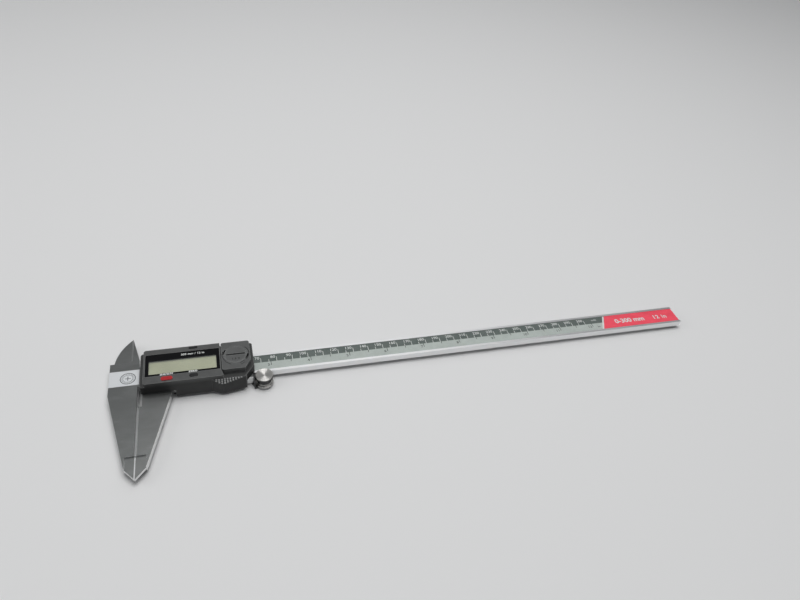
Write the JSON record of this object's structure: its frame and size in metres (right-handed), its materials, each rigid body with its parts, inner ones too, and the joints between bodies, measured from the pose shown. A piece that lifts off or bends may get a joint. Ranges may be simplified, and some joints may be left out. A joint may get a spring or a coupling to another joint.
{
  "type": "digital caliper",
  "caption": "Long digital caliper with outside and inside jaws, a sliding display unit, a thumb roller, a depth rod and a printed beam scale.",
  "frame": {"origin": "centre of the bounding box's lowest plane, which is the back of the slider", "axes": "+X along the beam from the jaws to its free end, +Y towards the inside jaws, +Z out of the display side"},
  "size_m": [0.395, 0.1078, 0.0162],
  "materials": {
    "hardened_steel": "satin ground stainless steel",
    "slider_steel": "satin ground stainless steel",
    "rod_steel": "drawn stainless steel",
    "roller_steel": "bright turned steel with spun faces",
    "knurled_chrome": "knurled plated steel",
    "bracket_steel": "blackened spring steel",
    "screw_steel": "plain steel screws",
    "gib_brass": "rolled brass",
    "contact_metal": "plated spring contacts",
    "cell_steel": "nickel-plated cell can",
    "scale_circuit": "glass-fibre circuit strip",
    "board": "glass-fibre circuit board",
    "scale_print": "printed two-tone scale strip",
    "red_print": "red printed strip with white lettering",
    "satin_label": "satin metal label with a printed ring",
    "housing_plastic": "fine textured black plastic",
    "cover_plastic": "matt black cover",
    "battery_plastic": "dark grey textured plastic",
    "white_plastic": "white moulded plastic",
    "window_gloss": "black printed glossy window",
    "lcd": "grey-green liquid crystal display",
    "red_button": "red rubber-feel button",
    "black_button": "black button",
    "seal_rubber": "black rubber",
    "resin": "black potting resin"
  },
  "bodies": {
    "beam": {"beam": "hardened_steel", "scale_circuit": "scale_circuit", "scale_label": "scale_print", "end_label": "red_print", "head_label": "satin_label", "stop_plate": "slider_steel", "stop_screws": "screw_steel"},
    "slider": {"slider_frame": "slider_steel", "gib_strip": "gib_brass", "gib_screws": "screw_steel", "depth_rod": "rod_steel", "rod_screws": "screw_steel", "rear_cover": "cover_plastic", "cover_screws": "screw_steel", "circuit_board": "board", "processor": "resin", "switch_domes": "contact_metal", "lcd_holder": "white_plastic", "lcd_connector": "seal_rubber", "lcd_glass": "lcd", "display_window": "window_gloss", "front_housing": "housing_plastic", "battery_block": "battery_plastic", "negative_contact": "contact_metal", "positive_contact": "contact_metal", "button_cell": "cell_steel", "roller_bracket": "bracket_steel", "bracket_screws": "screw_steel", "roller_axle": "screw_steel"},
    "lock_screw": {"lock_screw": "knurled_chrome"},
    "battery_cap": {"battery_cap": "battery_plastic", "cap_seal": "seal_rubber"},
    "power_button": {"power_button": "red_button"},
    "zero_button": {"zero_button": "black_button"},
    "unit_button": {"unit_button": "black_button"},
    "thumb_roller": {"thumb_roller": "roller_steel"}
  },
  "joints": [
    {"name": "slider_slide", "type": "slide", "parent": "beam", "child": "slider", "axis": [1, 0, 0], "range_m": [0, 0.3]},
    {"name": "lock_turn", "type": "hinge", "parent": "slider", "child": "lock_screw", "pos_m": [-0.1452, 0.0324, 0.00449], "axis": [0, 1, 0], "range_deg": [0, 180]},
    {"name": "cap_turn", "type": "hinge", "parent": "slider", "child": "battery_cap", "pos_m": [-0.1224, 0.0201, 0.01549], "axis": [0, 0, 1], "range_deg": [0, 60]},
    {"name": "power_press", "type": "slide", "parent": "slider", "child": "power_button", "axis": [0, 0, -1], "range_m": [0, 0.0005], "stiffness_N_per_m": 800, "springref_m": -0.0005},
    {"name": "zero_press", "type": "slide", "parent": "slider", "child": "zero_button", "axis": [0, 0, -1], "range_m": [0, 0.0005], "stiffness_N_per_m": 800, "springref_m": -0.0005},
    {"name": "unit_press", "type": "slide", "parent": "slider", "child": "unit_button", "axis": [0, 0, -1], "range_m": [0, 0.0005], "stiffness_N_per_m": 800, "springref_m": -0.0005},
    {"name": "roller_spin", "type": "hinge", "parent": "slider", "child": "thumb_roller", "pos_m": [-0.1064, 0.00716, 0.00449], "axis": [0, 0, 1], "continuous": true}
  ],
  "couplings": [
    {"joint": "roller_spin", "follows": "slider_slide", "rad_per_m": 230.41}
  ]
}
